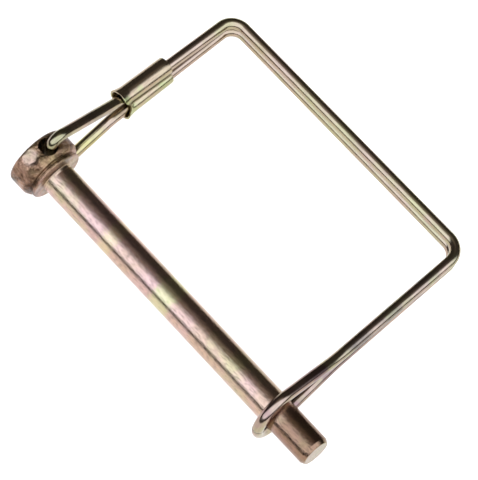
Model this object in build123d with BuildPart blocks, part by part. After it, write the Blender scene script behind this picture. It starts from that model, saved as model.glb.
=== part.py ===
from build123d import *
import math
import os

# Wire lock pin: a headed steel pin with a cross-drilled head, a doubled wire
# bail hooked into the head from both sides, and a crimped sleeve on the bail.
# Millimetres. Origin on the shank axis at the underside of the head;
# +X runs to the tip, +Y to the far side of the bail, +Z along the cross hole.

# --- driving dimensions -------------------------------------------------------

SHANK_D = 9.5             # 3/8 in pin
SHANK_LENGTH = 104.7      # head underside to tip
TIP_CHAMFER_X = 1.2
TIP_CHAMFER_R = 0.6

HEAD_D = 18.7
HEAD_HEIGHT = 9.0
HEAD_TOP_ROUND = 1.2
DRUM_END_X = -3.0         # the straight side of the drum stops here
DRUM_END_ROUND = 1.2
DRUM_FOOT_X = -1.75
DRUM_FOOT_STEP = 0.75     # radius lost from the drum down to its foot
GROOVE_START_X = -1.45
GROOVE_END_X = -1.2
GROOVE_DEPTH = 1.5
COLLAR_START_X = -1.0
COLLAR_STEP = 1.3         # the collar is this much smaller in radius than the drum
COLLAR_ROUND = 0.4

HOLE_D = 5.4
HOLE_LAND = 0.8           # metal between the cross hole and the top of the head

WIRE_D = 3.25
STRAND_GAP = 0.1          # between the two strands where they lie together
HOOK_SEAT = 0.3           # wire to the side of the hole that it is pulled against
HOOK_SEAT_ANGLE = 58.0    # that side, in degrees from +X towards +Y
HOOK_END_Z = 1.6          # each hook end stops this far from the middle
HOOK_BEND = 2.8           # bend radii are at the wire's centre
HOOK_CLEAR = 0.65         # over the side of the head

JOIN_LEAN = 0.4           # the leg's shift towards the head's top at the joins
JOIN_OFFSET = 0.88        # half the sideways shift between the strands there
JOIN_BEND = 8.0
FRONT_JOIN_Y = 29.5       # where the front strand comes down to the pair
REAR_JOIN_DROP = 5.7      # the rear strand joins this much nearer the head

SLEEVE_MOUTH = -1.2       # from the front join to the sleeve's mouth
SLEEVE_LENGTH = 17.4
SLEEVE_WALL = 0.6
SLEEVE_GAP = 0.12         # sleeve bore to wire
SLEEVE_SLACK = 0.4        # the front lobe is this much looser, on its outer side
SLEEVE_WAIST_R = 0.9      # outside radius of the valley between the strands
SLEEVE_FLARE = 0.5
SLEEVE_FLARE_LENGTH = 2.4
SLEEVE_FLARE_FILL = 2.8   # how much the valley opens out at the flared mouth

BAIL_REACH = 70.7         # pin axis to the first corner
BAIL_FLARE = 1.6          # the second corner is this much further out
LEG_1_LEAN = 1.2
LEG_2_LEAN = 4.5
CORNER_1_BEND = 4.6
CORNER_1_OFFSET = 0.27    # half the shift between the strands at that corner
CORNER_1_REAR_OUT = 0.2   # the rear strand's corner is this much further out
CORNER_2_BEND = 5.4
CORNER_2_OFFSET = 0.2     # half the shift between the strands at that corner

TIP_PAST_BIGHT = 15.6     # tip to the wire's centre in the bight
BIGHT_GAP = 1.0           # inside of the bight to the shank
SPLAY_LENGTH = 22.7       # pin axis to where the strands start to spread
SPLAY_BEND = 22.0

# --- derived values -----------------------------------------------------------

shank_r = SHANK_D / 2
head_r = HEAD_D / 2
hole_r = HOLE_D / 2
wire_r = WIRE_D / 2
hole_x = -HEAD_HEIGHT + HOLE_LAND + hole_r
hook_shift = hole_r - wire_r - HOOK_SEAT
swing = Vector(
    hole_x + hook_shift * math.cos(math.radians(HOOK_SEAT_ANGLE)),
    hook_shift * math.sin(math.radians(HOOK_SEAT_ANGLE)),
    0,
)
pair_z = (WIRE_D + STRAND_GAP) / 2
bight_r = shank_r + BIGHT_GAP + wire_r
bight_centre = Vector(SHANK_LENGTH - TIP_PAST_BIGHT, 0, 0)
corner_1 = Vector(swing.X - LEG_1_LEAN, BAIL_REACH, 0)
corner_2 = Vector(bight_centre.X - LEG_2_LEAN, BAIL_REACH + BAIL_FLARE, 0)
leg_2 = (corner_2 - bight_centre).normalized()
join = Vector(swing.X - JOIN_LEAN, FRONT_JOIN_Y, 0)
join_z = math.sqrt(pair_z ** 2 - JOIN_OFFSET ** 2)
leg_1 = (corner_1 - join).normalized()
across = Vector(leg_1.Y, -leg_1.X, 0)


def rounded_path(points, radii):
    """Straight runs through the points with an arc of each radius at the corners."""
    start = points[0]
    for index, radius in enumerate(radii, start=1):
        corner = points[index]
        back = (points[index - 1] - corner).normalized()
        ahead = (points[index + 1] - corner).normalized()
        half_turn = math.radians(180 - back.get_angle(ahead)) / 2
        arc_in = corner + back * (radius * math.tan(half_turn))
        arc_out = corner + ahead * (radius * math.tan(half_turn))
        sagitta = radius / math.cos(half_turn) - radius
        middle = corner + (back + ahead).normalized() * sagitta
        Line(start, arc_in)
        ThreePointArc(arc_in, middle, arc_out)
        start = arc_out
    Line(start, points[-1])


# --- pin: head, collar and shank turned in one piece --------------------------

with BuildPart() as lock_pin:
    with BuildSketch(Plane.XY):
        with BuildLine():
            Polyline(
                (-HEAD_HEIGHT, 0),
                (-HEAD_HEIGHT, head_r),
                (DRUM_END_X, head_r),
                (DRUM_FOOT_X, head_r - DRUM_FOOT_STEP),
                (GROOVE_START_X, head_r - GROOVE_DEPTH),
                (GROOVE_END_X, head_r - GROOVE_DEPTH),
                (COLLAR_START_X, head_r - COLLAR_STEP),
                (0, head_r - COLLAR_STEP),
                (0, shank_r),
                (SHANK_LENGTH - TIP_CHAMFER_X, shank_r),
                (SHANK_LENGTH, shank_r - TIP_CHAMFER_R),
                (SHANK_LENGTH, 0),
                close=True,
            )
        make_face()
    revolve(axis=Axis.X)
    rims = lock_pin.edges().filter_by(GeomType.CIRCLE)
    fillet(rims.sort_by(Axis.X)[0], HEAD_TOP_ROUND)
    rims = lock_pin.edges().filter_by(GeomType.CIRCLE)
    fillet(rims.filter_by_position(Axis.X, DRUM_END_X, DRUM_END_X), DRUM_END_ROUND)
    rims = lock_pin.edges().filter_by(GeomType.CIRCLE)
    underside = rims.filter_by_position(Axis.X, 0, 0)
    fillet(underside.sort_by(SortBy.RADIUS)[-1], COLLAR_ROUND)
    with Locations((hole_x, 0, 0)):
        Cylinder(hole_r, 2 * HEAD_D, mode=Mode.SUBTRACT)


# --- bail: one wire, from the front hook round the bight to the rear hook -----

def on_leg(side, distance):
    """Centre of one strand at this distance from the front join along the first leg."""
    part_way = distance / (corner_1 - join).length
    shift = JOIN_OFFSET + (CORNER_1_OFFSET - JOIN_OFFSET) * part_way
    lift = join_z + (pair_z - join_z) * part_way
    return join + leg_1 * distance - across * (side * shift) + Vector(0, 0, side * lift)


def strand(side, drop):
    """Corner points of one strand, from its hook end to where it meets the bight."""
    up = Vector(0, 0, side)
    met = on_leg(side, -drop)
    met_z = abs(met.Z)
    run = math.hypot(met.X - swing.X, met.Y - swing.Y)
    bend_z = head_r + HOOK_CLEAR + wire_r - HOOK_BEND
    slope = math.atan2(bend_z - met_z, run - HOOK_BEND)
    slope += math.asin(HOOK_BEND / math.hypot(bend_z - met_z, run - HOOK_BEND))
    apex_z = met_z + run * math.tan(slope)
    reach = math.hypot(SPLAY_LENGTH, pair_z)
    angle = math.atan2(pair_z, SPLAY_LENGTH) + math.acos(bight_r / reach)
    first = on_leg(side, (corner_1 - join).length)
    if side < 0:
        first += Vector(0, CORNER_1_REAR_OUT, 0)
    return [
        swing + up * HOOK_END_Z,
        swing + up * apex_z,
        met,
        first,
        corner_2 + up * pair_z + Vector(side * CORNER_2_OFFSET, 0, 0),
        bight_centre + leg_2 * SPLAY_LENGTH + up * pair_z,
        bight_centre + leg_2 * (bight_r * math.cos(angle)) + up * (bight_r * math.sin(angle)),
    ]


bends = [HOOK_BEND, JOIN_BEND, CORNER_1_BEND, CORNER_2_BEND, SPLAY_BEND]
front = strand(1, 0)
rear = strand(-1, REAR_JOIN_DROP)

with BuildPart() as wire_bail:
    with BuildLine() as wire_path:
        rounded_path(front, bends)
        ThreePointArc(front[-1], bight_centre - leg_2 * bight_r, rear[-1])
        rounded_path(rear[::-1], bends[::-1])
    with BuildSketch(Plane(origin=front[0], z_dir=(0, 0, 1))):
        Circle(wire_r)
    sweep(path=wire_path.wire())


# --- sleeve: sheet crimped round both strands ---------------------------------

def sleeve_section(distance, radius, waist_r):
    """Two lobes joined by a pair of hollow arcs, square to the leg."""
    front_lobe = on_leg(1, distance) - across * SLEEVE_SLACK
    rear_lobe = on_leg(-1, distance)
    span = (rear_lobe - front_lobe).length
    down = (rear_lobe - front_lobe).normalized()
    front_r = radius + SLEEVE_SLACK
    foot = ((front_r + waist_r) ** 2 - (radius + waist_r) ** 2 + span ** 2) / (2 * span)
    waist_x = math.sqrt((front_r + waist_r) ** 2 - foot ** 2)
    front_share = front_r / (front_r + waist_r)
    rear_share = radius / (radius + waist_r)
    front_touch = (waist_x * front_share, -foot * front_share)
    rear_touch = (waist_x * rear_share, -span + (span - foot) * rear_share)
    with BuildSketch(Plane(origin=front_lobe, x_dir=leg_1.cross(down), z_dir=leg_1)) as section:
        with BuildLine():
            ThreePointArc(
                front_touch, (0, front_r), (-front_touch[0], front_touch[1])
            )
            ThreePointArc(
                (-front_touch[0], front_touch[1]),
                (waist_r - waist_x, -foot),
                (-rear_touch[0], rear_touch[1]),
            )
            ThreePointArc(
                (-rear_touch[0], rear_touch[1]), (0, -span - radius), rear_touch
            )
            ThreePointArc(rear_touch, (waist_x - waist_r, -foot), front_touch)
        make_face()
    return section.sketch


bore_r = wire_r + SLEEVE_GAP
mouth = SLEEVE_MOUTH
neck = mouth + SLEEVE_FLARE_LENGTH
end = mouth + SLEEVE_LENGTH


def sleeve_shape(radius, waist_r):
    """The flared mouth and the crimped length, as one loft each."""
    loft(sections=[
        sleeve_section(mouth, radius + SLEEVE_FLARE, waist_r + SLEEVE_FLARE_FILL),
        sleeve_section(neck, radius, waist_r),
    ])
    loft(sections=[
        sleeve_section(neck, radius, waist_r),
        sleeve_section(end, radius, waist_r),
    ])


with BuildPart() as sleeve_bore:
    sleeve_shape(bore_r, SLEEVE_WAIST_R + SLEEVE_WALL)

with BuildPart() as crimp_sleeve:
    sleeve_shape(bore_r + SLEEVE_WALL, SLEEVE_WAIST_R)
    add(sleeve_bore.part, mode=Mode.SUBTRACT)


# --- export -------------------------------------------------------------------

os.makedirs("parts", exist_ok=True)

lock_pin.part.label = "lock_pin"
export_step(lock_pin.part, "parts/lock_pin.step")

wire_bail.part.label = "wire_bail"
export_step(wire_bail.part, "parts/wire_bail.step")

crimp_sleeve.part.label = "crimp_sleeve"
export_step(crimp_sleeve.part, "parts/crimp_sleeve.step")

wire_length = wire_path.wire().length
print("swing axis", swing)
print("wire length", round(wire_length, 2), "wire volume", round(wire_bail.part.volume, 1),
      "section times length", round(wire_length * math.pi * wire_r ** 2, 1))
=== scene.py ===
import math

import bmesh
import bpy
import numpy as np
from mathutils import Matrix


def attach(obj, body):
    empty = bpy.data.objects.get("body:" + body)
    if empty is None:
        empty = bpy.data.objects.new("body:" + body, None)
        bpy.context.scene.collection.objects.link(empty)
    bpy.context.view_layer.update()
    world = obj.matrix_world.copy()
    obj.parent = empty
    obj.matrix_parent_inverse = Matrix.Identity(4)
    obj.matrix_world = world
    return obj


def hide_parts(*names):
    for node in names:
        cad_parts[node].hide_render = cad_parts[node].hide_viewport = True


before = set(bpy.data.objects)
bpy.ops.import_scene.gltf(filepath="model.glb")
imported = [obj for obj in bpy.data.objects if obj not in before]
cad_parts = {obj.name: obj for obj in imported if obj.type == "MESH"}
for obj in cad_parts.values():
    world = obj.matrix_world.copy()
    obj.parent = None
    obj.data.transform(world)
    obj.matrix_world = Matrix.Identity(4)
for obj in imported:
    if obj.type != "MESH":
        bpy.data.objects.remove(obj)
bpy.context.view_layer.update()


# --- Lock pin -------------------------------------------------------------------
# The solid steel pin: a thick round head with a small collar under it, and a plain
# shank with a chamfered tip. Headed and turned from 3/8 in bar and cross-drilled
# through the head, then zinc plated and given a yellow chromate film.

mm = 0.001
shank_radius = 4.75 * mm
tip_x = 104.7 * mm
head_top_x = -9.0 * mm
head_radius = 9.35 * mm
drum_least_radius = 8.5 * mm
collar_radius = 8.05 * mm
hole_x = -5.5 * mm
hole_radius = 2.7 * mm
hole_rim_round = 0.22 * mm
around_pin = 192
window_half_steps = 14
window_top_x = -8.75 * mm
window_foot_x = -2.0 * mm

pin_outline = [
    # place along the pin, radius, and the rounding of the corner there
    (head_top_x, 0, 0),
    (head_top_x, head_radius, 1.2 * mm),
    (-3.0 * mm, head_radius, 1.2 * mm),
    (window_foot_x, 8.75 * mm, 0),
    (-1.75 * mm, 8.6 * mm, 0.2 * mm),
    (-1.45 * mm, 7.85 * mm, 0.1 * mm),
    (-1.2 * mm, 7.85 * mm, 0.08 * mm),
    (-1.0 * mm, collar_radius, 0.1 * mm),
    (0, collar_radius, 0.4 * mm),
    (0, shank_radius, 0.35 * mm),
    (103.5 * mm, shank_radius, 0.25 * mm),
    (tip_x, 4.15 * mm, 0.18 * mm),
    (tip_x, 0, 0),
]


def bent_line(corners, roundings, side, turn_step, guard):
    """Stations along straight runs joined by arcs, each with a sideways vector.

    An arc starts its rounding times the tangent of half the turn before its corner,
    and its stations are centre - inward * radius * cos(angle) + heading * radius *
    sin(angle). The sideways vector turns with the line about each arc's own axis, so
    it never twists. A guard station stands just outside each end of an arc.
    """
    corners = np.array(corners, float)
    headings = np.diff(corners, axis=0)
    headings /= np.linalg.norm(headings, axis=1, keepdims=True)
    side = np.array(side, float)
    stations = [corners[:1]]
    sides = [side[None]]
    for corner, radius, way_in, way_out in zip(
        corners[1:-1], roundings, headings[:-1], headings[1:]
    ):
        turn = math.acos(np.clip(way_in @ way_out, -1, 1))
        if radius == 0 or turn < 1e-6:
            stations.append(corner[None])
            sides.append(side[None])
            continue
        reach = radius * math.tan(turn / 2)
        inward = way_out - (way_out @ way_in) * way_in
        inward /= np.linalg.norm(inward)
        axis = np.cross(way_in, inward)
        angle = np.linspace(0, turn, max(3, math.ceil(turn / turn_step) + 1))[:, None]
        start = corner - way_in * reach
        arc = start + inward * radius * (1 - np.cos(angle)) + way_in * radius * np.sin(angle)
        turned = (
            side * np.cos(angle)
            + np.cross(axis, side) * np.sin(angle)
            + axis * (axis @ side) * (1 - np.cos(angle))
        )
        stations += [start[None] - way_in * guard, arc, arc[-1:] + way_out * guard]
        sides += [side[None], turned, turned[-1:]]
        side = turned[-1]
    stations.append(corners[-1:])
    sides.append(side[None])
    return np.concatenate(stations), np.concatenate(sides)


def grid_quads(rows, columns, first=0, closed_rows=False, closed_columns=False):
    """Quads between neighbours on a grid of points numbered row by row from first."""
    row = np.arange(rows if closed_rows else rows - 1)[:, None]
    column = np.arange(columns if closed_columns else columns - 1)[None, :]
    next_row = (row + 1) % rows
    next_column = (column + 1) % columns
    corners = np.broadcast_arrays(
        row * columns + column,
        row * columns + next_column,
        next_row * columns + next_column,
        next_row * columns + column,
    )
    return first + np.stack(corners, axis=-1)


def make_piece(name, points, quads, straight=None):
    """A smooth closed mesh: doubles merged, seams and poles closed, faces outward.

    straight holds each point's place on the piece as if it had never been bent:
    length along it first, then the two distances across it.
    """
    mesh = bpy.data.meshes.new(name)
    mesh.from_pydata(points.tolist(), [], quads.tolist())
    if straight is not None:
        unbent = mesh.attributes.new("straight", "FLOAT_VECTOR", "POINT")
        unbent.data.foreach_set("vector", straight.astype(np.float32).ravel())
    shape = bmesh.new()
    shape.from_mesh(mesh)
    bmesh.ops.remove_doubles(shape, verts=shape.verts, dist=0.0005 * mm)
    bmesh.ops.dissolve_degenerate(shape, edges=shape.edges, dist=0.0001 * mm)
    bmesh.ops.recalc_face_normals(shape, faces=shape.faces)
    if shape.calc_volume(signed=True) < 0:
        bmesh.ops.reverse_faces(shape, faces=shape.faces)
    shape.to_mesh(mesh)
    shape.free()
    mesh.polygons.foreach_set("use_smooth", np.ones(len(mesh.polygons), bool))
    piece = bpy.data.objects.new(name, mesh)
    bpy.context.scene.collection.objects.link(piece)
    return piece


outline = [(x, radius, 0) for x, radius, rounding in pin_outline]
roundings = [rounding for x, radius, rounding in pin_outline[1:-1]]
profile = bent_line(
    outline, roundings, side=(0, 0, 1), turn_step=math.radians(7.5), guard=0.04 * mm
)[0]
profile_x, profile_radius = profile[:, 0], profile[:, 1]
off_drum = profile_radius < drum_least_radius
window_top = int(np.argmin(np.abs(profile_x - window_top_x) + off_drum))
window_foot = int(np.argmin(np.abs(profile_x - window_foot_x) + off_drum))


def turned_surface(profile_x, profile_radius):
    """The outline carried round the X axis: y = radius * sin, z = radius * cos.

    The quads of two windows, one on each side of the head where the cross hole comes
    out, are left off.
    """
    angle = np.arange(around_pin) * 2 * math.pi / around_pin
    points = np.stack(
        np.broadcast_arrays(
            profile_x[:, None],
            profile_radius[:, None] * np.sin(angle),
            profile_radius[:, None] * np.cos(angle),
        ),
        axis=-1,
    )
    quads = grid_quads(len(profile_x), around_pin, closed_columns=True)
    row = np.arange(quads.shape[0])[:, None]
    column = np.arange(around_pin)[None, :]
    from_front = (column + window_half_steps) % around_pin
    from_rear = (column + window_half_steps - around_pin // 2) % around_pin
    across = (from_front < 2 * window_half_steps) | (from_rear < 2 * window_half_steps)
    keep = ~(across & (row >= window_top) & (row < window_foot))
    return points.reshape(-1, 3), quads[keep]


def hole_surface(profile_x, profile_radius):
    """From a window's edge over the drilled rim and through the head to the other window.

    Each point of the window's edge faces a point of the rim. Between them z is
    sqrt(radius(x)^2 - y^2), the outline's own surface. The rim is a quarter circle
    that drops from that surface into the hole, whose wall is straight.
    """
    step = np.arange(-window_half_steps, window_half_steps) * 2 * math.pi / around_pin
    rows = np.arange(window_top, window_foot)
    half = window_half_steps * 2 * math.pi / around_pin
    edge_row = np.concatenate(
        [np.full(step.size, window_top), rows, np.full(step.size, window_foot), rows[::-1] + 1]
    )
    edge_angle = np.concatenate(
        [step, np.full(rows.size, half), -step, np.full(rows.size, -half)]
    )
    edge = np.stack(
        [profile_x[edge_row], profile_radius[edge_row] * np.sin(edge_angle)], axis=-1
    )
    outward = edge - [hole_x, 0]
    outward /= np.linalg.norm(outward, axis=1, keepdims=True)
    rim = [hole_x, 0] + outward * (hole_radius + hole_rim_round)
    share = np.linspace(1, 0, 11)[:, None, None] ** 1.3
    lead_in = rim + (edge - rim) * share
    turn = np.linspace(0, math.pi / 2, 6)[1:, None]
    rounding = [hole_x, 0] + outward * (
        hole_radius + hole_rim_round * (1 - np.sin(turn))[..., None]
    )
    plan = np.concatenate([lead_in, rounding])
    drop = np.concatenate(
        [np.zeros((len(lead_in), 1)), hole_rim_round * (1 - np.cos(turn))]
    )
    inside = slice(window_top - 1, window_foot + 2)
    surface_radius = np.interp(plan[..., 0], profile_x[inside], profile_radius[inside])
    height = np.sqrt(surface_radius ** 2 - plan[..., 1] ** 2) - drop
    front = np.concatenate([plan, height[..., None]], axis=-1)
    wall_share = np.linspace(1, -1, 14)[1:-1, None, None]
    wall = np.concatenate(
        [
            np.broadcast_to(plan[-1], (len(wall_share), len(edge), 2)),
            height[-1][:, None] * wall_share,
        ],
        axis=-1,
    )
    rear = front[::-1] * [1, 1, -1]
    return np.concatenate([front, wall, rear])


def forged(points):
    """The head's slight unevenness: its radius drops by up to 0.12 mm in slow waves."""
    angle = np.arctan2(points[:, 1], points[:, 2])
    along = points[:, 0] / mm
    wave = (
        np.sin(3 * angle + 0.9 * along)
        + np.sin(5 * angle - 1.3 * along + 1)
        + np.sin(2 * angle + 1.9 * along + 4)
    )
    on_head = np.clip(-along - 0.9, 0, 1) * np.clip((9 + along) * 0.9, 0, 1)
    drop = 0.02 * mm * (3 + wave) * on_head
    radius = np.maximum(np.hypot(points[:, 1], points[:, 2]), mm)
    moved = points.copy()
    moved[:, 1:] *= (1 - drop / radius)[:, None]
    return moved


def add_node(tree, kind, inputs=(), **settings):
    """One shader node: its settings, then its inputs as links or plain values."""
    made = tree.nodes.new(kind)
    for name, value in settings.items():
        setattr(made, name, value)
    for name, value in dict(inputs).items():
        if isinstance(value, bpy.types.NodeSocket):
            tree.links.new(value, made.inputs[name])
        else:
            made.inputs[name].default_value = value
    return made


def new_group(name, inputs, outputs):
    """An empty node group with its named sockets, and its input and output nodes."""
    group = bpy.data.node_groups.new(name, "ShaderNodeTree")
    for socket_name, kind in inputs:
        group.interface.new_socket(socket_name, in_out="INPUT", socket_type=kind)
    for socket_name, kind in outputs:
        group.interface.new_socket(socket_name, in_out="OUTPUT", socket_type=kind)
    return group, group.nodes.new("NodeGroupInput"), group.nodes.new("NodeGroupOutput")


# The chromate film: thin, and a little uneven, so that its colour drifts slowly
# between the metal's own, a rose and a green.
chromate_film, film_in, film_out = new_group(
    "chromate_film",
    [
        ("Vector", "NodeSocketVector"),
        ("Drift Scale", "NodeSocketFloat"),
        ("Metal", "NodeSocketColor"),
        ("Rose", "NodeSocketColor"),
        ("Green", "NodeSocketColor"),
    ],
    [("Color", "NodeSocketColor")],
)
rose_noise = add_node(
    chromate_film, "ShaderNodeTexNoise",
    {"Vector": film_in.outputs["Vector"], "Scale": film_in.outputs["Drift Scale"],
     "Detail": 3.0, "Roughness": 0.55},
)
rose_amount = add_node(
    chromate_film, "ShaderNodeMapRange",
    {"Value": rose_noise.outputs["Fac"], "From Min": 0.42, "From Max": 0.6},
)
moved_over = add_node(
    chromate_film, "ShaderNodeVectorMath",
    {0: film_in.outputs["Vector"], 1: (0.31, 0.17, 0.23)}, operation="ADD",
)
green_noise = add_node(
    chromate_film, "ShaderNodeTexNoise",
    {"Vector": moved_over.outputs["Vector"], "Scale": film_in.outputs["Drift Scale"],
     "Detail": 3.0, "Roughness": 0.6},
)
green_amount = add_node(
    chromate_film, "ShaderNodeMapRange",
    {"Value": green_noise.outputs["Fac"], "From Min": 0.5, "From Max": 0.68},
)
with_rose = add_node(
    chromate_film, "ShaderNodeMix",
    {"Factor": rose_amount.outputs["Result"], 6: film_in.outputs["Metal"],
     7: film_in.outputs["Rose"]},
    data_type="RGBA",
)
with_green = add_node(
    chromate_film, "ShaderNodeMix",
    {"Factor": green_amount.outputs["Result"], 6: with_rose.outputs[2],
     7: film_in.outputs["Green"]},
    data_type="RGBA",
)
chromate_film.links.new(with_green.outputs[2], film_out.inputs["Color"])

# Fine marks from drawing and tumbling, longer than they are wide, lying along X.
drawn_grain, grain_in, grain_out = new_group(
    "drawn_grain",
    [
        ("Vector", "NodeSocketVector"),
        ("Stretch", "NodeSocketVector"),
        ("Contrast", "NodeSocketFloat"),
    ],
    [("Height", "NodeSocketFloat"), ("Shade", "NodeSocketColor"), ("Matt", "NodeSocketFloat")],
)
stretched = add_node(
    drawn_grain, "ShaderNodeVectorMath",
    {0: grain_in.outputs["Vector"], 1: grain_in.outputs["Stretch"]}, operation="MULTIPLY",
)
grain_noise = add_node(
    drawn_grain, "ShaderNodeTexNoise",
    {"Vector": stretched.outputs["Vector"], "Scale": 1.0, "Detail": 4.0, "Roughness": 0.6},
)
centred = add_node(
    drawn_grain, "ShaderNodeMath",
    {0: grain_noise.outputs["Fac"], 1: 0.5}, operation="SUBTRACT",
)
swing = add_node(
    drawn_grain, "ShaderNodeMath",
    {0: centred.outputs["Value"], 1: grain_in.outputs["Contrast"]}, operation="MULTIPLY",
)
shade = add_node(
    drawn_grain, "ShaderNodeMath", {0: swing.outputs["Value"], 1: 0.95}, operation="ADD",
    use_clamp=True,
)
shade_colour = add_node(
    drawn_grain, "ShaderNodeCombineColor",
    {"Red": shade.outputs["Value"], "Green": shade.outputs["Value"],
     "Blue": shade.outputs["Value"]},
)
matt = add_node(
    drawn_grain, "ShaderNodeMapRange",
    {"Value": grain_noise.outputs["Fac"], "From Min": 0.3, "From Max": 0.7,
     "To Min": 1.25, "To Max": 0.8},
)
drawn_grain.links.new(grain_noise.outputs["Fac"], grain_out.inputs["Height"])
drawn_grain.links.new(shade_colour.outputs["Color"], grain_out.inputs["Shade"])
drawn_grain.links.new(matt.outputs["Result"], grain_out.inputs["Matt"])


def plated_steel(name, colours, drift_scale, stretch, contrast, roughness, grain_depth):
    """Plated metal: the film's colour times the grain's shade, with the grain as bump.

    Colours are named for the film's sockets. Returns the material and its main nodes
    by name, so that each piece can set its own pattern's place and add its own marks.
    """
    material = bpy.data.materials.new(name)
    material.use_nodes = True
    tree = material.node_tree
    principled = tree.nodes["Principled BSDF"]
    principled.inputs["Metallic"].default_value = 1.0
    film = add_node(tree, "ShaderNodeGroup", node_tree=chromate_film)
    film.inputs["Drift Scale"].default_value = drift_scale
    for socket, colour in colours.items():
        film.inputs[socket].default_value = (*colour, 1)
    grain = add_node(tree, "ShaderNodeGroup", node_tree=drawn_grain)
    grain.inputs["Stretch"].default_value = stretch
    grain.inputs["Contrast"].default_value = contrast
    tinted = add_node(
        tree, "ShaderNodeMix",
        {"Factor": 1.0, 6: film.outputs["Color"], 7: grain.outputs["Shade"]},
        data_type="RGBA", blend_type="MULTIPLY",
    )
    tree.links.new(tinted.outputs[2], principled.inputs["Base Color"])
    rough = add_node(
        tree, "ShaderNodeMath", {0: grain.outputs["Matt"], 1: roughness},
        operation="MULTIPLY",
    )
    tree.links.new(rough.outputs["Value"], principled.inputs["Roughness"])
    bump = add_node(
        tree, "ShaderNodeBump",
        {"Height": grain.outputs["Height"], "Strength": 1.0, "Distance": grain_depth},
    )
    tree.links.new(bump.outputs["Normal"], principled.inputs["Normal"])
    return material, {"film": film, "grain": grain, "tinted": tinted, "bump": bump,
                      "rough": rough, "principled": principled}


pin_finish, pin_nodes = plated_steel(
    "plated_pin_finish",
    {"Metal": (0.50, 0.345, 0.25), "Rose": (0.54, 0.36, 0.31), "Green": (0.46, 0.39, 0.22)},
    drift_scale=75.0,
    stretch=(700.0, 2600.0, 2600.0),
    contrast=1.7,
    roughness=0.19,
    grain_depth=0.055 * mm,
)
pin_tree = pin_finish.node_tree
pin_place = add_node(pin_tree, "ShaderNodeTexCoord")
pin_tree.links.new(pin_place.outputs["Object"], pin_nodes["film"].inputs["Vector"])
pin_tree.links.new(pin_place.outputs["Object"], pin_nodes["grain"].inputs["Vector"])
# Two places on the shank where the film came out thinner and yellower.
along_pin = add_node(
    pin_tree, "ShaderNodeSeparateXYZ", {"Vector": pin_place.outputs["Object"]}
)
yellowed = pin_nodes["tinted"].outputs[2]
for spot_x, spot_half, yellow in (
    (46.0 * mm, 3.2 * mm, (0.52, 0.55, 0.24)),
    (24.0 * mm, 2.2 * mm, (0.6, 0.5, 0.27)),
):
    away = add_node(
        pin_tree, "ShaderNodeMath", {0: along_pin.outputs["X"], 1: spot_x},
        operation="SUBTRACT",
    )
    distance = add_node(
        pin_tree, "ShaderNodeMath", {0: away.outputs["Value"]}, operation="ABSOLUTE"
    )
    ragged = add_node(
        pin_tree, "ShaderNodeMath",
        {0: pin_nodes["grain"].outputs["Height"], 1: 5.0 * mm, 2: distance.outputs["Value"]},
        operation="MULTIPLY_ADD",
    )
    amount = add_node(
        pin_tree, "ShaderNodeMapRange",
        {"Value": ragged.outputs["Value"], "From Min": spot_half + 1.4 * mm,
         "From Max": spot_half + 3.6 * mm, "To Min": 0.5, "To Max": 0.0},
        interpolation_type="SMOOTHSTEP",
    )
    spot = add_node(
        pin_tree, "ShaderNodeMix",
        {"Factor": amount.outputs["Result"], 6: yellowed, 7: (*yellow, 1)},
        data_type="RGBA",
    )
    yellowed = spot.outputs[2]
# The forged head is duller and more uneven than the shank.
head_share = add_node(
    pin_tree, "ShaderNodeMapRange",
    {"Value": along_pin.outputs["X"], "From Min": 1.0 * mm, "From Max": -0.5 * mm},
)
head_patches = add_node(
    pin_tree, "ShaderNodeTexNoise",
    {"Vector": pin_place.outputs["Object"], "Scale": 260.0, "Detail": 5.0, "Roughness": 0.65,
     "Distortion": 0.6},
)
patch_tone = add_node(
    pin_tree, "ShaderNodeValToRGB", {"Fac": head_patches.outputs["Fac"]}
)
patch_tone.color_ramp.elements[0].position = 0.38
patch_tone.color_ramp.elements[0].color = (0.16, 0.115, 0.08, 1)
patch_tone.color_ramp.elements[1].position = 0.6
patch_tone.color_ramp.elements[1].color = (0.74, 0.63, 0.52, 1)
# Painted highlight: one field beside the cross hole is kept out of the head's darkening, where
# the window's highlight lies on the drum.
from_highlight_field = add_node(
    pin_tree, "ShaderNodeVectorMath",
    {0: pin_place.outputs["Object"], 1: (-6.5 * mm, -5.5 * mm, 7.6 * mm)},
    operation="DISTANCE",
)
painted_highlight_field = add_node(
    pin_tree, "ShaderNodeMapRange",
    {"Value": from_highlight_field.outputs["Value"], "From Min": 1.6 * mm, "From Max": 2.8 * mm,
     "To Min": 1.0, "To Max": 0.0},
    interpolation_type="SMOOTHSTEP",
)
head_patches_with_highlight = add_node(
    pin_tree, "ShaderNodeMix",
    {"Factor": painted_highlight_field.outputs["Result"], 6: patch_tone.outputs["Color"],
     7: (1, 1, 1, 1)},
    data_type="RGBA",
)
# The head darkened by its random patches, all but the painted highlight field.
patched_head_with_highlight = add_node(
    pin_tree, "ShaderNodeMix",
    {"Factor": head_share.outputs["Result"], 6: yellowed, 7: head_patches_with_highlight.outputs[2]},
    data_type="RGBA", blend_type="MULTIPLY",
)
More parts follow.
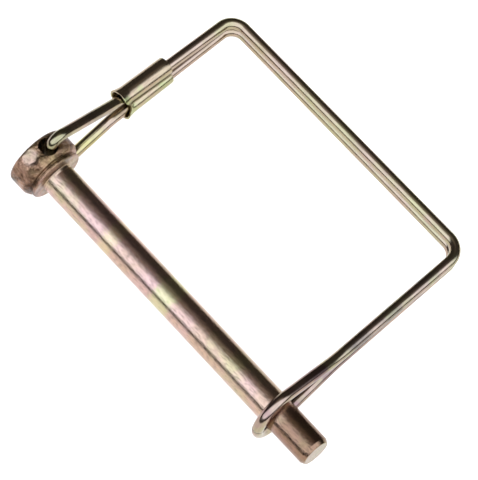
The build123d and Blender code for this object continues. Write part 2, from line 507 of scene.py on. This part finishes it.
# Painted shade and painted reflection: the tip beyond the bail's loop is darkened where the
# loop shades it and shows dark in it, all but its end face, which is sheared plain and a little
# olive.
end_face_x = tip_x - 0.1 * mm
tip_shade_share = add_node(
    pin_tree, "ShaderNodeMapRange",
    {"Value": along_pin.outputs["X"], "From Min": 88.0 * mm, "From Max": 94.0 * mm},
)
short_of_end = add_node(
    pin_tree, "ShaderNodeMath", {0: along_pin.outputs["X"], 1: end_face_x},
    operation="LESS_THAN",
)
painted_tip_shade = add_node(
    pin_tree, "ShaderNodeMath",
    {0: tip_shade_share.outputs["Result"], 1: short_of_end.outputs["Value"]}, operation="MULTIPLY",
)
# The painted shade on the tip, multiplied into the colour.
shaded_tip = add_node(
    pin_tree, "ShaderNodeMix",
    {"Factor": painted_tip_shade.outputs["Value"], 6: patched_head_with_highlight.outputs[2], 7: (0.52, 0.45, 0.4, 1)},
    data_type="RGBA", blend_type="MULTIPLY",
)
on_end_face = add_node(
    pin_tree, "ShaderNodeMath", {0: along_pin.outputs["X"], 1: end_face_x},
    operation="GREATER_THAN",
)
tinted_end = add_node(
    pin_tree, "ShaderNodeMix",
    {"Factor": on_end_face.outputs["Value"], 6: shaded_tip.outputs[2], 7: (0.6, 0.58, 0.44, 1)},
    data_type="RGBA", blend_type="MULTIPLY",
)
pin_tree.links.new(tinted_end.outputs[2], pin_nodes["principled"].inputs["Base Color"])
# The head's skin is pitted all over, less so in the painted highlight field.
head_noise = add_node(
    pin_tree, "ShaderNodeTexNoise",
    {"Vector": pin_place.outputs["Object"], "Scale": 420.0, "Detail": 4.0, "Roughness": 0.6},
)
head_relief = add_node(
    pin_tree, "ShaderNodeMath",
    {0: head_noise.outputs["Fac"], 1: head_share.outputs["Result"]}, operation="MULTIPLY",
)
highlight_field_calm = add_node(
    pin_tree, "ShaderNodeMapRange",
    {"Value": painted_highlight_field.outputs["Result"], "To Min": 1.0, "To Max": 0.3},
)
calmed_relief = add_node(
    pin_tree, "ShaderNodeMath",
    {0: head_relief.outputs["Value"], 1: highlight_field_calm.outputs["Result"]}, operation="MULTIPLY",
)
head_bump = add_node(
    pin_tree, "ShaderNodeBump",
    {"Height": calmed_relief.outputs["Value"], "Distance": 0.8 * mm,
     "Normal": pin_nodes["bump"].outputs["Normal"]},
)
pin_tree.links.new(head_bump.outputs["Normal"], pin_nodes["principled"].inputs["Normal"])
head_rough = add_node(
    pin_tree, "ShaderNodeMath",
    {0: head_share.outputs["Result"], 1: 0.14, 2: pin_nodes["rough"].outputs["Value"]},
    operation="MULTIPLY_ADD",
)
pin_tree.links.new(head_rough.outputs["Value"], pin_nodes["principled"].inputs["Roughness"])

turned_points, turned_quads = turned_surface(profile_x, profile_radius)
hole_points = hole_surface(profile_x, profile_radius)
hole_quads = grid_quads(
    *hole_points.shape[:2], first=len(turned_points), closed_columns=True
).reshape(-1, 4)
pin_points = np.concatenate([turned_points, hole_points.reshape(-1, 3)])
lock_pin = make_piece(
    "turned_pin", forged(pin_points), np.concatenate([turned_quads, hole_quads])
)
lock_pin.data.materials.append(pin_finish)
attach(lock_pin, "pin")
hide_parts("lock_pin")


# --- Bail -----------------------------------------------------------------------
# One spring steel wire, doubled: it starts in the front of the head's cross hole,
# runs round the square, loops round the pin near its tip and comes back beside
# itself to the rear of the hole. Bent cold and plated.

wire_radius = 1.625 * mm
hook_end_z = 1.6 * mm
hook_rounding = 2.8 * mm
hook_clearance = 0.65 * mm
swing_y = 0.65724
swing_axis = np.array([-5.08931, swing_y, 0]) * mm
pair_z = 1.675 * mm
join_offset = 0.88 * mm
join_z = math.sqrt(pair_z ** 2 - join_offset ** 2)
join = swing_axis + np.array([-0.4, 29.5 - swing_y, 0]) * mm
rear_join_drop = 5.7 * mm
corner_1 = swing_axis + np.array([-1.2, 70.7 - swing_y, 0]) * mm
corner_2 = np.array([84.6, 72.3, 0]) * mm
corner_1_offset = 0.27 * mm
corner_1_rear_out = 0.2 * mm
corner_2_offset = 0.2 * mm
bight_centre = np.array([89.1, 0, 0]) * mm
bight_radius = 7.375 * mm
splay_length = 22.7 * mm
around_wire = 48
wire_end_bevel = 0.2 * mm

leg_1_length = np.linalg.norm(corner_1 - join)
leg_1 = (corner_1 - join) / leg_1_length
leg_2 = (corner_2 - bight_centre) / np.linalg.norm(corner_2 - bight_centre)
across_leg = np.array([leg_1[1], -leg_1[0], 0])
upward = np.array([0, 0, 1.0])


def on_leg(side, distance):
    """Centre of one strand at a distance from the front join along the first leg.

    The strands stand a pair's width apart. Their stack leans by the join's offset at
    the join and by the corner's offset at the corner.
    """
    distance = np.asarray(distance, float)[..., None]
    part_way = distance / leg_1_length
    shift = join_offset + (corner_1_offset - join_offset) * part_way
    lift = join_z + (pair_z - join_z) * part_way
    return join + leg_1 * distance - across_leg * side * shift + upward * side * lift


def strand_corners(side, drop):
    """Corners of one strand: hook end, hook crest, join, both corners, splay, bight."""
    met = on_leg(side, -drop)
    met_z = abs(met[2])
    run = math.hypot(*(met - swing_axis)[:2])
    bend_z = head_radius + hook_clearance + wire_radius - hook_rounding
    rise = bend_z - met_z
    slope = math.atan2(rise, run - hook_rounding)
    slope += math.asin(hook_rounding / math.hypot(rise, run - hook_rounding))
    reach = math.hypot(splay_length, pair_z)
    angle = math.atan2(pair_z, splay_length) + math.acos(bight_radius / reach)
    half_turn = (math.pi - angle) / 2
    middle = angle + half_turn
    far = bight_radius / math.cos(half_turn)
    outward = np.array([0, corner_1_rear_out if side < 0 else 0, 0])
    return [
        swing_axis + upward * side * hook_end_z,
        swing_axis + upward * side * (met_z + run * math.tan(slope)),
        met,
        on_leg(side, leg_1_length) + outward,
        corner_2 + np.array([side * corner_2_offset, 0, side * pair_z]),
        bight_centre + leg_2 * splay_length + upward * side * pair_z,
        bight_centre + (leg_2 * math.cos(middle) + upward * side * math.sin(middle)) * far,
    ]


def round_bar(stations, sides, radius, bevel, around):
    """A circle carried along a bent line: centre + radius * (cos * side + sin * third).

    third is square to both the line and its side. Each end has a small bevel and is
    closed by a flat face that shrinks to a point.
    """
    ahead = np.gradient(stations, axis=0)
    ahead /= np.linalg.norm(ahead, axis=1, keepdims=True)
    third = np.cross(ahead, sides)
    third /= np.linalg.norm(third, axis=1, keepdims=True)
    length = np.concatenate([[0], np.cumsum(np.linalg.norm(np.diff(stations, axis=0), axis=1))])
    inner = radius - bevel
    centres = np.concatenate([
        stations[[0, 0, 0]], stations[[0]] + ahead[[0]] * bevel, stations[1:-1],
        stations[[-1]] - ahead[[-1]] * bevel, stations[[-1, -1, -1]],
    ])
    end_radii = np.array([0, inner * 0.9, inner])
    radii = np.concatenate([end_radii, np.full(len(stations), radius), end_radii[::-1]])
    pick = np.concatenate([[0, 0, 0], np.arange(len(stations)), np.full(3, len(stations) - 1)])
    angle = np.arange(around) * 2 * math.pi / around
    cosine = (radii[:, None] * np.cos(angle))[..., None]
    sine = (radii[:, None] * np.sin(angle))[..., None]
    points = centres[:, None] + sides[pick][:, None] * cosine + third[pick][:, None] * sine
    along = np.broadcast_to(length[pick][:, None, None], cosine.shape)
    straight = np.concatenate([along, cosine, sine], axis=-1)
    return points.reshape(-1, 3), straight.reshape(-1, 3), len(centres)


# How each corner is rounded: the hook, the join, both corners, the splay and the loop.
# The rear strand kinks more sharply where it joins.
bail_bends = [hook_rounding, 8.0 * mm, 4.6 * mm, 5.4 * mm, 22.0 * mm, bight_radius]
rear_hook_bends = [3.0 * mm, hook_rounding]
front_strand = strand_corners(1, 0)
rear_strand = strand_corners(-1, rear_join_drop)
wire_line, wire_sides = bent_line(
    front_strand + rear_strand[::-1], bail_bends + bail_bends[:1:-1] + rear_hook_bends,
    side=(1, 0, 0), turn_step=math.radians(4), guard=0.12 * mm,
)
wire_points, wire_straight, wire_rows = round_bar(
    wire_line, wire_sides, wire_radius, wire_end_bevel, around_wire
)
wire_quads = grid_quads(wire_rows, around_wire, closed_columns=True).reshape(-1, 4)
wire_bail = make_piece("bail_wire", wire_points, wire_quads, wire_straight)

wire_finish, wire_nodes = plated_steel(
    "plated_wire_finish",
    {"Rose": (0.42, 0.31, 0.235), "Green": (0.38, 0.35, 0.19)},
    drift_scale=85.0,
    stretch=(260.0, 1900.0, 1900.0),
    contrast=0.8,
    roughness=0.17,
    grain_depth=0.025 * mm,
)
wire_tree = wire_finish.node_tree
wire_place = add_node(wire_tree, "ShaderNodeAttribute", attribute_name="straight")
wire_tree.links.new(wire_place.outputs["Vector"], wire_nodes["film"].inputs["Vector"])
wire_tree.links.new(wire_place.outputs["Vector"], wire_nodes["grain"].inputs["Vector"])
# The wire's colour along its length, from the front hook to the rear one: the film's tint,
# darker along the second leg and round the loop, and darkest at the front hook, painted shade
# in and beside the cross hole.
wire_tones_and_shade = [
    (0.0, (0.12, 0.1, 0.075)), (0.03, (0.17, 0.14, 0.1)), (0.06, (0.34, 0.28, 0.2)),
    (0.1, (0.36, 0.28, 0.19)), (0.17, (0.36, 0.28, 0.17)), (0.25, (0.4, 0.34, 0.21)),
    (0.33, (0.4, 0.36, 0.2)), (0.36, (0.2, 0.175, 0.135)), (0.42, (0.17, 0.14, 0.115)),
    (0.46, (0.25, 0.15, 0.14)), (0.5, (0.29, 0.17, 0.165)), (0.56, (0.26, 0.18, 0.155)),
    (0.64, (0.34, 0.27, 0.22)), (0.67, (0.4, 0.35, 0.22)), (0.83, (0.4, 0.31, 0.2)),
    (0.905, (0.32, 0.23, 0.15)), (0.925, (0.28, 0.2, 0.13)), (0.94, (0.46, 0.4, 0.17)),
    (1.0, (0.4, 0.36, 0.15)),
]
wire_length = float(wire_straight[:, 0].max())
along_wire = add_node(
    wire_tree, "ShaderNodeSeparateXYZ", {"Vector": wire_place.outputs["Vector"]}
)
wire_share = add_node(
    wire_tree, "ShaderNodeMapRange", {"Value": along_wire.outputs["X"], "From Max": wire_length}
)
tone_and_shade_ramp = add_node(wire_tree, "ShaderNodeValToRGB", {"Fac": wire_share.outputs["Result"]})
tone_and_shade_ramp.color_ramp.elements.remove(tone_and_shade_ramp.color_ramp.elements[1])
for share, colour in wire_tones_and_shade:
    stop = tone_and_shade_ramp.color_ramp.elements.new(share) if share else tone_and_shade_ramp.color_ramp.elements[0]
    stop.color = (*colour, 1)
wire_tree.links.new(tone_and_shade_ramp.outputs["Color"], wire_nodes["film"].inputs["Metal"])
wire_bail.data.materials.append(wire_finish)
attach(wire_bail, "bail")
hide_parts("wire_bail")


# --- Sleeve ---------------------------------------------------------------------
# A short piece of thin steel sheet rolled round both strands and crimped, so that it
# follows them in a figure of eight. It holds the spring wire's strands together; its
# mouth towards the head is flared and the sheet's edges meet underneath.

sleeve_start = -1.2 * mm
sleeve_end = 16.2 * mm
flare_length = 3.2 * mm
flare = 0.5 * mm
flare_fill = 2.8 * mm
half_wall = 0.3 * mm
edge_round = 0.14 * mm
sleeve_gap = 0.12 * mm
lobe_radius = wire_radius + sleeve_gap + half_wall
front_slack = 0.4 * mm
waist_radius = 0.9 * mm
mouth_scallop = 1.6 * mm
scallop_half_width = 1.5 * mm
seam_depth = 0.22 * mm
seam_half_width = 0.1 * mm
lobe_steps = 46
hollow_steps = 16


def sleeve_walls():
    """Place along the sleeve and offset from mid-sheet, once round the sheet's section.

    A long thin rectangle with rounded corners: out along the outside, over the far
    edge, back along the inside and over the mouth's edge.
    """
    quarter = np.linspace(0, math.pi / 2, 5)
    out = half_wall - edge_round
    body = np.concatenate([
        np.linspace(sleeve_start + edge_round, sleeve_start + flare_length, 13)[1:],
        np.linspace(sleeve_start + flare_length, sleeve_end - edge_round, 9)[1:-1],
    ])
    far = sleeve_end - edge_round
    near = sleeve_start + edge_round
    place = np.concatenate([
        body,
        far + edge_round * np.sin(quarter), far + edge_round * np.cos(quarter),
        body[::-1],
        near - edge_round * np.sin(quarter), near - edge_round * np.cos(quarter),
    ])
    offset = np.concatenate([
        np.full(body.size, half_wall),
        out + edge_round * np.cos(quarter), -out - edge_round * np.sin(quarter),
        np.full(body.size, -half_wall),
        -out - edge_round * np.cos(quarter), out + edge_round * np.sin(quarter),
    ])
    return place, offset


def crimped_shell(place, offset):
    """The sheet's section carried round a figure of eight square to the leg.

    Two lobes stand round the strands, the front one looser by its slack. They are
    joined by two hollows of radius waist - offset, whose centres lie where circles of
    radius lobe + waist about both lobes cross. Near the mouth the lobes grow, the
    hollows open out and the edge between the lobes draws back. The seam is a narrow
    groove under the rear strand.
    """
    bell = np.clip((sleeve_start + flare_length - place) / flare_length, 0, 1) ** 1.5
    rear = (lobe_radius + flare * bell)[:, None]
    front = rear + front_slack
    waist = (waist_radius + flare_fill * bell)[:, None]
    front_lobe = on_leg(1, place) - across_leg * front_slack
    rear_lobe = on_leg(-1, place)
    span = np.linalg.norm(rear_lobe - front_lobe, axis=1, keepdims=True)
    stack = (front_lobe - rear_lobe) / span
    sideways = np.cross(stack, leg_1)
    foot = ((front + waist) ** 2 - (rear + waist) ** 2 + span ** 2) / (2 * span)
    waist_x = np.sqrt((front + waist) ** 2 - foot ** 2)
    front_lean = np.arctan2(foot, waist_x)
    rear_lean = np.arctan2(span - foot, waist_x)
    near_seam = 0.5 + np.arange(-5, 6) * 0.004
    lobe = np.unique(np.concatenate([np.linspace(0, 1, lobe_steps), near_seam]))[:-1]
    hollow = np.linspace(0, 1, hollow_steps)[:-1]
    upper = -front_lean + lobe * (math.pi + 2 * front_lean)
    lower = math.pi - rear_lean + lobe * (math.pi + 2 * rear_lean)
    left = front_lean - hollow * (front_lean + rear_lean)
    right = math.pi + rear_lean - hollow * (front_lean + rear_lean)
    from_seam = (lower - 1.5 * math.pi) * rear / seam_half_width
    groove = seam_depth * np.exp(-from_seam ** 2) * (offset > 0)[:, None]
    offset = offset[:, None]
    zero = np.zeros_like(foot)
    rims = [
        (zero, zero, front + offset + 0 * upper, upper),
        (-waist_x, -foot, waist - offset + 0 * left, left),
        (zero, -span, rear + offset - groove, lower),
        (waist_x, -foot, waist - offset + 0 * right, right),
    ]
    x = np.concatenate([cx + size * np.cos(turn) for cx, cy, size, turn in rims], axis=1)
    y = np.concatenate([cy + size * np.sin(turn) for cx, cy, size, turn in rims], axis=1)
    drawn_back = np.exp(-((y + foot) / scallop_half_width) ** 2)
    drawn_back *= mouth_scallop * bell[:, None]
    points = (
        front_lobe[:, None]
        + sideways[:, None] * x[..., None]
        + stack[:, None] * y[..., None]
        + leg_1 * drawn_back[..., None]
    )
    along = np.broadcast_to(place[:, None], x.shape)
    return points, np.stack([along, x, y], axis=-1)


shell, shell_straight = crimped_shell(*sleeve_walls())
shell_quads = grid_quads(*shell.shape[:2], closed_rows=True, closed_columns=True).reshape(-1, 4)
crimp_sleeve = make_piece(
    "crimped_sleeve", shell.reshape(-1, 3), shell_quads, shell_straight.reshape(-1, 3)
)

sleeve_finish, sleeve_nodes = plated_steel(
    "plated_sheet_finish",
    {"Rose": (0.44, 0.33, 0.22), "Green": (0.35, 0.37, 0.17)},
    drift_scale=150.0,
    stretch=(350.0, 1500.0, 1500.0),
    contrast=0.9,
    roughness=0.2,
    grain_depth=0.03 * mm,
)
sleeve_tree = sleeve_finish.node_tree
sleeve_place = add_node(sleeve_tree, "ShaderNodeAttribute", attribute_name="straight")
sleeve_tree.links.new(sleeve_place.outputs["Vector"], sleeve_nodes["film"].inputs["Vector"])
sleeve_tree.links.new(sleeve_place.outputs["Vector"], sleeve_nodes["grain"].inputs["Vector"])
# Painted shade down the crimped crease, where the lobes meet; the rear lobe is greener than the
# front.
crease_below_front = 1.55 * mm
across_sleeve = add_node(
    sleeve_tree, "ShaderNodeSeparateXYZ", {"Vector": sleeve_place.outputs["Vector"]}
)
rear_share = add_node(
    sleeve_tree, "ShaderNodeMapRange",
    {"Value": across_sleeve.outputs["Z"], "From Min": -2.2 * mm, "From Max": -3.2 * mm},
)
lobe_tint = add_node(
    sleeve_tree, "ShaderNodeMix",
    {"Factor": rear_share.outputs["Result"], 6: (0.42, 0.33, 0.21, 1),
     7: (0.4, 0.38, 0.2, 1)},
    data_type="RGBA",
)
sleeve_tree.links.new(lobe_tint.outputs[2], sleeve_nodes["film"].inputs["Metal"])
from_crease = add_node(
    sleeve_tree, "ShaderNodeMath", {0: across_sleeve.outputs["Z"], 1: crease_below_front},
    operation="ADD",
)
crease_distance = add_node(
    sleeve_tree, "ShaderNodeMath", {0: from_crease.outputs["Value"]}, operation="ABSOLUTE"
)
painted_crease_shade = add_node(
    sleeve_tree, "ShaderNodeMapRange",
    {"Value": crease_distance.outputs["Value"], "From Min": 0.2 * mm, "From Max": 0.95 * mm,
     "To Min": 1.0, "To Max": 0.0},
    interpolation_type="SMOOTHSTEP",
)
# The painted crease shade mixed into the sheet's colour.
crease_shaded = add_node(
    sleeve_tree, "ShaderNodeMix",
    {"Factor": painted_crease_shade.outputs["Result"], 6: sleeve_nodes["tinted"].outputs[2],
     7: (0.12, 0.095, 0.035, 1)},
    data_type="RGBA",
)
sleeve_tree.links.new(crease_shaded.outputs[2], sleeve_nodes["principled"].inputs["Base Color"])
crimp_sleeve.data.materials.append(sleeve_finish)
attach(crimp_sleeve, "bail")
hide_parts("crimp_sleeve")


# --- Floor ----------------------------------------------------------------------
# The plain white card that the pin lies on, flat under the lowest wire. It keeps the
# soft shadow and shows white to the camera and in the plating.

floor_z = -13.3 * mm
floor_half = 0.17
floor_middle = (45.0 * mm, 30.0 * mm)
floor_mesh = bpy.data.meshes.new("white_floor")
floor_mesh.from_pydata(
    (np.array([[-1, -1, 0], [1, -1, 0], [1, 1, 0], [-1, 1, 0]]) * floor_half
     + [*floor_middle, floor_z]).tolist(),
    [], [(0, 1, 2, 3)],
)
floor = bpy.data.objects.new("white_floor", floor_mesh)
bpy.context.scene.collection.objects.link(floor)
floor_paint = bpy.data.materials.new("white_floor_paint")
floor_paint.use_nodes = True
floor_tree = floor_paint.node_tree
floor_tree.nodes.clear()
floor_rays = add_node(floor_tree, "ShaderNodeLightPath")
seen = add_node(
    floor_tree, "ShaderNodeMath",
    {0: floor_rays.outputs["Is Camera Ray"], 1: floor_rays.outputs["Is Glossy Ray"]},
    operation="MAXIMUM",
)
seen_through = add_node(
    floor_tree, "ShaderNodeMath",
    {0: seen.outputs["Value"], 1: floor_rays.outputs["Is Transmission Ray"]},
    operation="MAXIMUM",
)
glow = add_node(
    floor_tree, "ShaderNodeMath", {0: seen_through.outputs["Value"], 1: 0.7},
    operation="MULTIPLY",
)
white = add_node(floor_tree, "ShaderNodeEmission", {"Strength": glow.outputs["Value"]})
flat_white = add_node(floor_tree, "ShaderNodeBsdfDiffuse", {"Color": (0.78, 0.74, 0.68, 1)})
lit_floor = add_node(
    floor_tree, "ShaderNodeAddShader",
    {0: white.outputs["Emission"], 1: flat_white.outputs["BSDF"]},
)
# From below the card is clear, so that the underside of the pin can be seen.
facing = add_node(floor_tree, "ShaderNodeNewGeometry")
clear = add_node(floor_tree, "ShaderNodeBsdfTransparent")
one_sided = add_node(
    floor_tree, "ShaderNodeMixShader",
    {0: facing.outputs["Backfacing"], 1: lit_floor.outputs["Shader"], 2: clear.outputs["BSDF"]},
)
add_node(
    floor_tree, "ShaderNodeOutputMaterial", {"Surface": one_sided.outputs["Shader"]}
)
floor.data.materials.append(floor_paint)


# --- Light ----------------------------------------------------------------------
# A dim room with one long soft window of light on one side, from a little above the
# table to well overhead. Behind everything the camera sees plain white.

window_side = (0.79, -0.61, 0.0)
window_colour = (0.9, 1.0, 1.18)
window_strength = 2.2
room_colour = (0.062, 0.056, 0.052)
ceiling_glow = (0.3, 0.27, 0.25)

world = bpy.data.worlds.new("studio")
bpy.context.scene.world = world
world.use_nodes = True
sky = world.node_tree
sky.nodes.clear()
sky_place = add_node(sky, "ShaderNodeTexCoord")
height = add_node(sky, "ShaderNodeSeparateXYZ", {"Vector": sky_place.outputs["Generated"]})
towards = add_node(
    sky, "ShaderNodeVectorMath",
    {0: sky_place.outputs["Generated"], 1: window_side}, operation="DOT_PRODUCT",
)


def soft_edge(value, low, high):
    """Rises smoothly from 0 at low to 1 at high."""
    return add_node(
        sky, "ShaderNodeMapRange",
        {"Value": value, "From Min": low, "From Max": high},
        interpolation_type="SMOOTHSTEP",
    ).outputs["Result"]


above_table = soft_edge(height.outputs["Z"], 0.19, 0.27)
near_ceiling = soft_edge(height.outputs["Z"], 0.85, 0.97)
on_window_side = soft_edge(towards.outputs["Value"], -0.13, 0.16)
room_light = add_node(
    sky, "ShaderNodeMix",
    {"Factor": near_ceiling, 6: (*room_colour, 1), 7: (*ceiling_glow, 1)},
    data_type="RGBA",
)
window_shape = add_node(
    sky, "ShaderNodeMath", {0: above_table, 1: on_window_side},
    operation="MULTIPLY",
)
window_light = add_node(
    sky, "ShaderNodeMix",
    {"Factor": window_shape.outputs["Value"], 6: room_light.outputs[2],
     7: tuple(part * window_strength for part in window_colour) + (1,)},
    data_type="RGBA",
)
studio = add_node(sky, "ShaderNodeBackground", {"Color": window_light.outputs[2]})
backdrop = add_node(sky, "ShaderNodeBackground", {"Color": (1, 1, 1, 1)})
sky_rays = add_node(sky, "ShaderNodeLightPath")
shown = add_node(
    sky, "ShaderNodeMixShader",
    {0: sky_rays.outputs["Is Camera Ray"], 1: studio.outputs["Background"],
     2: backdrop.outputs["Background"]},
)
add_node(sky, "ShaderNodeOutputWorld", {"Surface": shown.outputs["Shader"]})


# --- Camera ---------------------------------------------------------------------
# A long lens, well above the object and turned about its own axis, so that the pin
# lies across the frame from the head at the upper left to the tip at the lower right.

azimuth = math.radians(30.68)
elevation = math.radians(60.92)
roll = math.radians(19.33)
looked_at = np.array([44.57, 26.6, 0]) * mm
camera_distance = 2.1533

back = np.array([
    math.sin(azimuth) * math.cos(elevation),
    -math.cos(azimuth) * math.cos(elevation),
    math.sin(elevation),
])
level = np.array([math.cos(azimuth), math.sin(azimuth), 0])
right = level * math.cos(roll) + np.cross(back, level) * math.sin(roll)
placed = np.eye(4)
placed[:3, 0] = right
placed[:3, 1] = np.cross(back, right)
placed[:3, 2] = back
placed[:3, 3] = looked_at + back * camera_distance
camera_data = bpy.data.cameras.new("camera")
camera_data.lens = 600.0
camera_data.sensor_width = 36.0
camera = bpy.data.objects.new("camera", camera_data)
camera.matrix_world = placed.T.tolist()
bpy.context.scene.collection.objects.link(camera)
bpy.context.scene.camera = camera
bpy.context.scene.view_settings.view_transform = "Standard"
